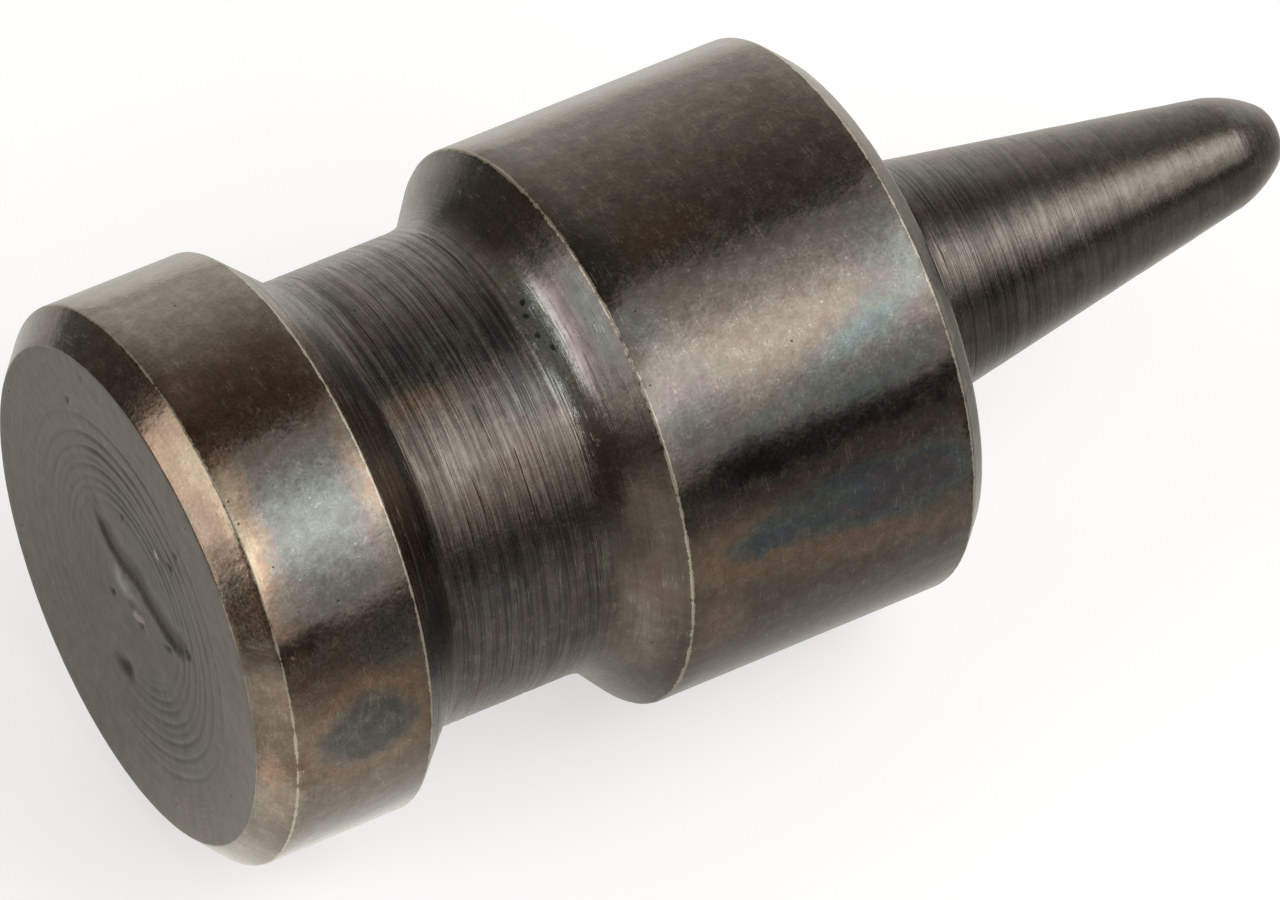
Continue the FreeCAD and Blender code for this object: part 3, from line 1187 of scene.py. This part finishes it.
GROUND_LAND = SteelFinish(
    "ground_land", film=0.42, shade=0.96, roughness=0.20, spacing=0.05, mark_height=0.04,
    mark_contrast=0.08, grain_height=0.09, grain_contrast=1.0, clouds=0.15, scratch_density=0.2,
    fleck_contrast=0.4,
    rims=(Rim(0.62, 6.35, 0.032), Rim(3.84, 6.35, 0.034), Rim(10.17, 6.35, 0.036),
          Rim(17.09, 6.35, 0.034), Rim(17.57, 5.87, 0.028)),
    stain_and_light_patches=(
        StainAndLightPatch(0.3, 17, 0.5, 12, 0.16, 1.35, soft=0.5),
        StainAndLightPatch(0.15, 14, 0.2, 6, 0.27, 1.45, 0.8),
        StainAndLightPatch(0.5, 24, 0.15, 9, 0.05, 1.25, 0.8),
        StainAndLightPatch(0.3, 35, 0.5, 9, 0.28, 1.12, 0.9),
        StainAndLightPatch(0.2, 36, 0.30, 4.5, 0.31, 1.15, 0.8),
        StainAndLightPatch(0.5, 40, 0.12, 4, 0.27, 1.35, 0.9),
        # Painted light and shade on the bevel: the next seven patches brighten its lower side and
        # darken it near 42 degrees, with their heat colours.
        StainAndLightPatch(0.3, 52, 0.5, 7, 0.32, 2.2, 0.85),
        StainAndLightPatch(0.25, 47, 0.16, 3, 0.56, 1.6, 0.6),
        StainAndLightPatch(0.3, 42, 0.3, 4, 0.30, 0.72, 0.8),
        StainAndLightPatch(0.3, 80, 0.4, 8, 0.40, 1.35, 0.85),
        StainAndLightPatch(0.3, 99, 0.4, 9, 0.42, 2.3, 0.85, soft=0.6),
        StainAndLightPatch(0.2, 92, 0.15, 5, 0.20, 1.9, 0.8),
        StainAndLightPatch(0.3, 118, 0.4, 10, 0.40, 1.5, 0.8),
        StainAndLightPatch(0.95, 40.5, 0.42, 18, 0.06, 1.52, 0.9, soft=0.6),
        StainAndLightPatch(0.85, 53, 0.25, 6, 0.24, 1.2),
        StainAndLightPatch(2.35, 41, 1.25, 18, 0.83, 1.14, 0.9, soft=0.45),
        StainAndLightPatch(2.2, 53, 1.0, 6, 0.72, 0.95, 0.7),
        StainAndLightPatch(3.62, 42, 0.25, 15, 0.30, 1.35, 0.85),
        StainAndLightPatch(3.4, 50, 0.3, 6, 0.56, 1.2, 0.8),
        StainAndLightPatch(1.3, 55, 0.4, 4, 0.50, 1.2),
        StainAndLightPatch(2.2, 12, 1.8, 13, 0.29, 0.80, 0.85),
        StainAndLightPatch(1.0, 9, 0.4, 5, 0.16, 1.15, 0.7),
        # Painted light: the head's land near 70 degrees, brightened where the floor would light it
        # more.
        StainAndLightPatch(1.0, 71, 0.8, 5, 0.32, 1.9, 0.8),
        StainAndLightPatch(2.4, 66, 1.2, 6, 0.38, 1.75, 0.8),
        StainAndLightPatch(1.2, 62, 0.9, 2.2, 0.38, 0.66, 0.9, soft=0.6),
        StainAndLightPatch(3.1, 67, 0.7, 6, 0.78, 1.25, 0.85),
        # Painted light: the top of the head, brightened.
        StainAndLightPatch(1.9, -20, 2.4, 20, 0.44, 1.8, 0.85, soft=0.5),
        StainAndLightPatch(2.2, 86, 1.7, 17, 0.30, 1.1, 0.9, soft=0.6),
        StainAndLightPatch(2.45, 85, 1.4, 10.5, 0.24, 1.5, 0.9, soft=0.35),
        StainAndLightPatch(2.35, 86, 1.05, 7.5, 0.76, 0.80, 0.95, soft=0.38),
        StainAndLightPatch(0.64, 65, 0.05, 0.6, 0.05, 2.2, 1.0, soft=0.3),
        StainAndLightPatch(0.60, 90, 0.05, 0.6, 0.05, 2.2, 1.0, soft=0.3),
        # Painted light and shade on the front bevel: brighter at the top and darker down its side.
        StainAndLightPatch(17.72, 2, 0.62, 16, 0.42, 1.3, 0.9, soft=0.15),
        StainAndLightPatch(17.72, 35, 0.62, 16, 0.43, 0.60, 0.95, soft=0.15),
        StainAndLightPatch(17.72, 78, 0.62, 44, 0.38, 0.32, 0.95, soft=0.15),
        StainAndLightPatch(2.2, 103, 1.6, 6, 0.44, 1.05, 0.6),
        # Painted shade: the head's underside, darkened near 117 degrees.
        StainAndLightPatch(2.4, 117, 2.0, 10, 0.44, 0.74, 0.8),
        StainAndLightPatch(12.0, 15, 1.4, 6, 0.32, 0.95),
        StainAndLightPatch(10.5, 16, 0.45, 9, 0.80, 0.7),
        StainAndLightPatch(10.6, 30, 0.5, 5, 0.90, 1.0, 0.7),
        StainAndLightPatch(13.8, 28, 1.6, 4, 0.55, 1.0, 0.6),
        # Painted shade: the upper edge of the shoulder's highlight, darkened.
        StainAndLightPatch(13.9, 22.5, 3.4, 4.0, 0.46, 0.62, 0.75, soft=0.6),
        StainAndLightPatch(11.0, 47, 0.9, 8, 0.84, 0.96, 0.45),
        StainAndLightPatch(13.3, 42, 2.4, 5, 0.40, 1.1, 0.6),
        StainAndLightPatch(16.3, 31, 0.8, 9, 0.90, 1.0, 0.6),
        StainAndLightPatch(16.8, 38, 0.35, 7, 0.92, 1.1, 0.6),
        StainAndLightPatch(14.6, 49.5, 2.3, 3.6, 0.90, 1.0, 0.8, slant=-24.0),
        StainAndLightPatch(15.5, 46.5, 0.9, 3.4, 0.93, 1.02, 0.85, slant=-24.0),
        StainAndLightPatch(16.2, 53, 0.7, 5, 0.80, 0.84, 0.8),
        StainAndLightPatch(14.9, 57, 1.2, 3.5, 0.92, 0.72, 0.85),
        StainAndLightPatch(12.3, 57, 1.0, 3.5, 0.84, 0.92, 0.7),
        StainAndLightPatch(10.9, 52, 0.8, 6, 0.74, 0.95, 0.6),
        StainAndLightPatch(12.8, 63.5, 1.9, 4.6, 0.68, 0.42, 0.95, slant=-3.0, soft=0.5),
        StainAndLightPatch(11.9, 62.5, 0.6, 3.6, 0.68, 0.30, 0.8, soft=0.6),
        StainAndLightPatch(15.6, 62, 1.9, 2.8, 0.62, 0.42, 0.9, soft=0.5),
        StainAndLightPatch(11.6, 74, 0.8, 5, 0.44, 0.9),
        StainAndLightPatch(14.0, 69.5, 3.2, 2.6, 0.32, 1.0, 0.8),
        StainAndLightPatch(11.2, 80, 1.3, 7, 0.26, 1.35, 0.85),
        StainAndLightPatch(13.8, 89, 3.0, 4.2, 0.27, 1.2, 0.85, slant=10.0, soft=0.6),
        StainAndLightPatch(14.9, 79, 2.3, 7.4, 1.0, 0.93, 0.97, slant=6.0, soft=0.3),
        StainAndLightPatch(12.5, 79.5, 1.4, 3.2, 0.98, 0.92, 0.95, soft=0.35),
        StainAndLightPatch(13.4, 77, 1.0, 3.0, 0.72, 0.80, 0.7),
        StainAndLightPatch(10.8, 97, 0.7, 8, 0.32, 1.4, 0.8),
    ),
)

TURNED_GROOVE = SteelFinish(
    "turned_groove", film=0.43, shade=0.79, roughness=0.25, spacing=0.10, mark_height=0.8,
    mark_contrast=0.8, line_contrast=0.8, fade_start=8.5, fade_end=9.1, grain_height=0.12,
    grain_contrast=0.6, clouds=0.18, ragged=0.28, scratch_density=0.2, fleck_contrast=0.15,
    rims=(Rim(3.84, 6.35, 0.04), Rim(10.17, 6.35, 0.045)),
    stain_and_light_patches=(
        StainAndLightPatch(4.35, 30, 0.75, 60, 0.27, 0.85, 0.9, soft=0.3),
        StainAndLightPatch(4.4, 42, 0.5, 9, 0.26, 1.05, 0.7),
        # Painted shade: the rear flank's lower side, darkened.
        StainAndLightPatch(4.4, 84, 0.75, 18, 0.26, 0.10, 0.95, soft=0.4),
        StainAndLightPatch(7.0, -20, 3.0, 26, 0.49, 1.02, 0.85),
        StainAndLightPatch(5.2, -14, 0.9, 14, 0.80, 1.05, 0.7),
        # Painted shade: the waist's underside near 120 degrees.
        StainAndLightPatch(7.0, 121, 3.0, 14, 0.38, 0.62, 0.8),
        # Painted shade: the waist's highlight dimmed, and the front of the waist below it.
        StainAndLightPatch(6.8, 44.5, 1.7, 15, 0.38, 0.57, 0.85, soft=0.6),
        StainAndLightPatch(8.4, 55, 0.5, 9, 0.40, 0.46, 0.85),
        StainAndLightPatch(7.0, 14, 2.0, 8, 0.90, 0.92, 0.75),
        StainAndLightPatch(6.9, 27, 1.9, 4.5, 0.38, 0.95, 0.8),
        StainAndLightPatch(5.9, 24.5, 0.7, 3.5, 0.22, 0.95, 0.85),
        StainAndLightPatch(8.2, 31, 0.8, 8, 0.86, 0.9, 0.7),
        StainAndLightPatch(6.2, 36, 1.1, 9, 0.54, 1.0, 0.7),
        StainAndLightPatch(6.4, 79, 1.0, 8, 0.86, 0.9, 0.8),
        StainAndLightPatch(6.6, 90, 1.3, 12, 0.49, 1.02, 0.7),
        StainAndLightPatch(8.95, 55, 0.3, 12, 0.42, 0.45, 0.85),
        # Painted light: the front root's teal band, brightened several times where it turns towards
        # the lamp.
        StainAndLightPatch(9.15, 24, 0.35, 21, 0.80, 4.6, 0.85),
        StainAndLightPatch(9.05, 16, 0.3, 18, 0.92, 3.6, 0.85),
        # Painted shade: the front root darkened at its top and behind its bright band.
        StainAndLightPatch(9.4, -36, 0.5, 12, 0.40, 0.42, 0.8),
        StainAndLightPatch(9.65, 26, 0.3, 16, 0.56, 0.80, 0.9),
        StainAndLightPatch(9.95, 24, 0.18, 13, 0.82, 0.85, 0.85),
        StainAndLightPatch(9.6, 56, 0.8, 10, 0.34, 0.85, 0.8),
        StainAndLightPatch(9.5, 85, 0.5, 7, 0.34, 0.95, 0.8),
        # Painted light and shade on the front root's underside: darker near 74 degrees, brighter
        # near 105.
        StainAndLightPatch(9.25, 74, 0.35, 9, 0.40, 0.46, 0.85),
        StainAndLightPatch(9.3, 105, 0.5, 14, 0.42, 1.5, 0.85, soft=0.6),
        StainAndLightPatch(8.98, 15, 0.055, 0.9, 0.9, 0.9, 1.0, soft=0.3),
        StainAndLightPatch(9.08, 11.5, 0.06, 0.8, 0.9, 0.9, 1.0, soft=0.3),
        StainAndLightPatch(9.0, 20.5, 0.05, 0.7, 0.9, 0.9, 1.0, soft=0.3),
        StainAndLightPatch(9.14, 24.5, 0.045, 0.8, 0.9, 0.9, 1.0, soft=0.3),
        # Painted shade: the waist's highlight dimmed next to the rear flank.
        StainAndLightPatch(5.4, 42, 0.45, 15, 0.42, 0.50, 0.8),
    ),
)

TURNED_NOSE = SteelFinish(
    "turned_nose", film=0.50, shade=0.90, roughness=0.24, spacing=0.075, mark_height=0.6,
    mark_contrast=0.75, line_contrast=0.65, fade_start=19.0, fade_end=26.0, grain_height=0.15,
    grain_contrast=0.7, clouds=0.06, ragged=0.3, scratch_density=0.0, fleck_contrast=0.08,
    rims=(Rim(17.57, 5.87, 0.03),),
    stain_and_light_patches=(
        StainAndLightPatch(19.5, 5, 2.5, 26, 0.80, 0.9, 0.7),
        # Painted highlight: the nose's highlight brightened on its lower side.
        StainAndLightPatch(23.4, 49, 4.5, 9, 0.49, 1.26, 0.8),
        StainAndLightPatch(21.5, 60, 2.0, 10, 0.78, 0.86, 0.7),
        StainAndLightPatch(24.8, 68, 1.8, 12, 0.40, 0.82, 0.7),
        # Painted shade: the upper side of the nose's highlight darkened, and the root darker all
        # round.
        StainAndLightPatch(22.5, 25, 5.0, 9, 0.40, 0.74, 0.8),
        StainAndLightPatch(20.0, 20, 2.6, 15, 0.52, 0.50, 0.8),
        StainAndLightPatch(19.6, 66, 2.2, 18, 0.46, 0.70, 0.7),
        StainAndLightPatch(19.8, 92, 2.4, 26, 0.42, 0.56, 0.8),
        StainAndLightPatch(28.0, 40, 0.95, 400, 0.60, 1.2, 0.9, soft=0.1),
        StainAndLightPatch(27.5, 14, 0.3, 14, 0.80, 1.35, 0.7),
        # Painted shade: ends the highlight at the tip's rim.
        StainAndLightPatch(27.36, 38, 0.24, 18, 0.54, 0.85, 0.9, soft=0.25),
        # Painted shade: the tip's underside darkened.
        StainAndLightPatch(27.9, 60, 0.9, 34, 0.50, 0.84, 0.8),
        StainAndLightPatch(27.9, 76, 0.9, 20, 0.44, 0.56, 0.7),
    ),
)


@dataclass(frozen=True)
class Softbox:
    """A soft lamp, aimed at the middle of the punch.

    Attributes:
        name: Name of the lamp.
        direction: Direction from the punch to the lamp.
        distance: Distance of the lamp, in metres.
        width: Level width, in metres.
        height: Height, in metres.
        power: Power, in watts.
        core: How much brighter the middle is than the edges, as a share of the edges' light.
    """

    name: str
    direction: tuple[float, float, float]
    distance: float
    width: float
    height: float
    power: float
    core: float = 0.0

    def shade_cloth(self, lamp: bpy.types.AreaLight) -> None:
        """Make the lamp's cloth brighter in the middle of its height than at its edges.

        Args:
            lamp: The lamp to shade.
        """
        lamp.use_nodes = True
        lamp.node_tree.nodes.clear()
        desk = Desk(lamp.node_tree)
        place = desk.node("ShaderNodeNewGeometry").outputs["Parametric"]
        level = desk.node("ShaderNodeSeparateXYZ", {0: place}).outputs["Y"]
        off = desk.math("MULTIPLY", desk.math("ABSOLUTE", desk.math("SUBTRACT", level, 0.5)), 2.0)
        light = desk.smooth(off, 0.0, 0.62, 1.0 + self.core, 1.0)
        cloth = desk.node("ShaderNodeEmission", {"Strength": light})
        desk.node("ShaderNodeOutputLight", {"Surface": cloth.outputs[0]})

    def set_up(self, target: Vector) -> bpy.types.Object:
        """Make the lamp.

        Args:
            target: The place that the lamp faces.

        Returns:
            The lamp's object.
        """
        lamp = bpy.data.lights.new(self.name, "AREA")
        lamp.shape = "RECTANGLE"
        lamp.size, lamp.size_y = self.width, self.height
        lamp.energy = self.power
        if self.core:
            self.shade_cloth(lamp)
        made = bpy.data.objects.new(self.name, lamp)
        towards = Vector(self.direction).normalized()
        made.location = target + towards * self.distance
        made.rotation_euler = towards.to_track_quat("Z", "Y").to_euler()
        bpy.context.scene.collection.objects.link(made)
        return made


@dataclass(frozen=True)
class Studio:
    """The pale floor, the soft light and the camera.

    Attributes:
        target: Middle of the punch, in metres.
        floor_level: Height of the floor, in metres.
        floor_size: Half the floor's side, in metres.
        lens: Focal length of the camera, in millimetres.
        sensor: Width of the camera's sensor, in millimetres.
        camera_place: Place of the camera, in metres.
        camera_right: Direction of the picture's right side.
        camera_up: Direction of the picture's top.
        softboxes: The lamps.
    """

    target: tuple[float, float, float] = (0.0142, 0.0, 0.0)
    floor_level: float = -0.00635
    floor_size: float = 2.0
    lens: float = 393.75
    sensor: float = 36.0
    camera_place: tuple[float, float, float] = (-0.094483, -0.185151, 0.210729)
    camera_right: tuple[float, float, float] = (0.86578, -0.50042, 0.0)
    camera_up: tuple[float, float, float] = (0.35280, 0.61039, 0.70919)
    softboxes: tuple[Softbox, ...] = (
        Softbox("key_softbox", (0.39, -0.605, 0.695), 0.30, 0.42, 0.375, 0.51, core=2.6),
        Softbox("left_softbox", (-0.93, 0.13, 0.33), 0.30, 0.20, 0.20, 0.36),
    )

    def build_floor(self) -> bpy.types.Object:
        """Lay the floor.

        Returns:
            The floor, which is white for the camera and keeps the punch's shadow.
        """
        mesh = bmesh.new()
        bmesh.ops.create_grid(mesh, x_segments=1, y_segments=1, size=self.floor_size)
        bmesh.ops.translate(mesh, verts=list(mesh.verts), vec=(0.0, 0.0, self.floor_level))
        data = bpy.data.meshes.new("studio_floor")
        mesh.to_mesh(data)
        mesh.free()
        floor = bpy.data.objects.new("studio_floor", data)
        bpy.context.scene.collection.objects.link(floor)
        data.materials.append(self.floor_material())
        return floor

    def floor_material(self) -> bpy.types.Material:
        """Matt white card, bright near the punch and dim further out in what metal mirrors.

        Returns:
            The floor's material.
        """
        made = bpy.data.materials.new("white_card")
        made.use_nodes = True
        made.node_tree.nodes.clear()
        desk = Desk(made.node_tree)
        spot = desk.node("ShaderNodeTexCoord").outputs["Object"]
        place = desk.vector("SCALE", spot, Scale=PER_METRE)
        parts = desk.node("ShaderNodeSeparateXYZ", {0: place}).outputs
        rays = desk.node("ShaderNodeLightPath").outputs
        mirrored = desk.math("MAXIMUM", rays["Is Glossy Ray"], rays["Is Transmission Ray"])
        near = desk.math("ADD", desk.smooth(parts["Y"], -60.0, -18.0, 0.18, 0.54),
                         desk.smooth(parts["Y"], -9.0, 0.0, 0.0, 0.32))
        front = desk.smooth(parts["X"], 4.0, 9.0, 2.0, 1.0)
        left = desk.blend(desk.smooth(parts["Y"], -5.0, 3.0), front, 1.0)
        near = desk.math("MULTIPLY", near, left)
        back = desk.math("MULTIPLY", desk.smooth(parts["Y"], 4.0, 32.0, 0.0, 1.25),
                         desk.smooth(parts["X"], -20.0, 25.0, 0.08, 1.0))
        near = desk.math("MAXIMUM", near, back)
        slant = desk.math("SUBTRACT", parts["Y"], desk.math("MULTIPLY", parts["X"], 2.0))
        near = desk.math("MULTIPLY", near, desk.smooth(slant, 45.0, 90.0, 1.0, 0.2))
        card_white = desk.blend(mirrored, 0.5, desk.math("MULTIPLY", near, 0.5, clamp=True))
        strength = desk.math("MULTIPLY_ADD", mirrored, desk.math("MULTIPLY", near, 0.62),
                             desk.math("MULTIPLY", rays["Is Camera Ray"], 0.62))
        white = desk.node("ShaderNodeCombineColor", {0: card_white, 1: card_white, 2: card_white})
        card = desk.node("ShaderNodeBsdfPrincipled", {
            "Base Color": white.outputs[0], "Roughness": 0.9, "Specular IOR Level": 0.0,
            "Emission Color": desk.tint(mirrored, WHITE, CARD_GLOW),
            "Emission Strength": strength,
        })
        desk.node("ShaderNodeOutputMaterial", {"Surface": card.outputs[0]})
        return made

    def build_world(self) -> None:
        """Set the room's light: white for the camera, dim overhead and bright at the back."""
        world = bpy.data.worlds.new("studio_room")
        world.use_nodes = True
        world.node_tree.nodes.clear()
        desk = Desk(world.node_tree)
        direction = desk.node("ShaderNodeTexCoord").outputs["Generated"]
        facing = desk.math("MAXIMUM", desk.vector("DOT_PRODUCT", direction, (0.7, 0.714, 0.0)), 0.0)
        window = desk.math("MULTIPLY", desk.math("POWER", facing, 3.0), 1.4)
        room = desk.tint(desk.math("MINIMUM", window, 1.0), DARK_ROOM, WINDOW_LIGHT)
        rays = desk.node("ShaderNodeLightPath").outputs
        colour = desk.tint(rays["Is Camera Ray"], room, WHITE)
        strength = desk.blend(rays["Is Camera Ray"], desk.math("MAXIMUM", window, 1.0), 1.0)
        light = desk.node("ShaderNodeBackground", {"Color": colour, "Strength": strength})
        desk.node("ShaderNodeOutputWorld", {"Surface": light.outputs[0]})
        bpy.context.scene.world = world

    def build_camera(self) -> bpy.types.Object:
        """Set the camera at the photograph's viewing angle.

        Returns:
            The camera.
        """
        lens = bpy.data.cameras.new("view")
        lens.lens = self.lens
        lens.sensor_width = self.sensor
        lens.clip_start = 0.01
        made = bpy.data.objects.new("view", lens)
        right, up = Vector(self.camera_right), Vector(self.camera_up)
        turn = Matrix((right, up, right.cross(up))).transposed().to_4x4()
        made.matrix_world = Matrix.Translation(self.camera_place) @ turn
        bpy.context.scene.collection.objects.link(made)
        bpy.context.scene.camera = made
        return made

    def build(self) -> None:
        """Set up the floor, the room, the lamps and the camera."""
        self.build_floor()
        self.build_world()
        for softbox in self.softboxes:
            softbox.set_up(Vector(self.target))
            LOG.info("lamp %s set up", softbox.name)
        self.build_camera()


def main() -> None:
    """Build the punch, dress it and set the studio."""
    logging.basicConfig(level=logging.INFO)
    bpy.context.scene.view_settings.view_transform = "Standard"
    Studio().build()
    effects = Effects()
    piece = TurnedPunch().build()
    for finish in (FACED_END, GROUND_LAND, TURNED_GROOVE, TURNED_NOSE):
        piece.data.materials.append(finish.material(effects))
    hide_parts(PUNCH)
    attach(piece, BODY)
    LOG.info("%s has %d faces", piece.name, len(piece.data.polygons))


if __name__ == "__main__":
    main()
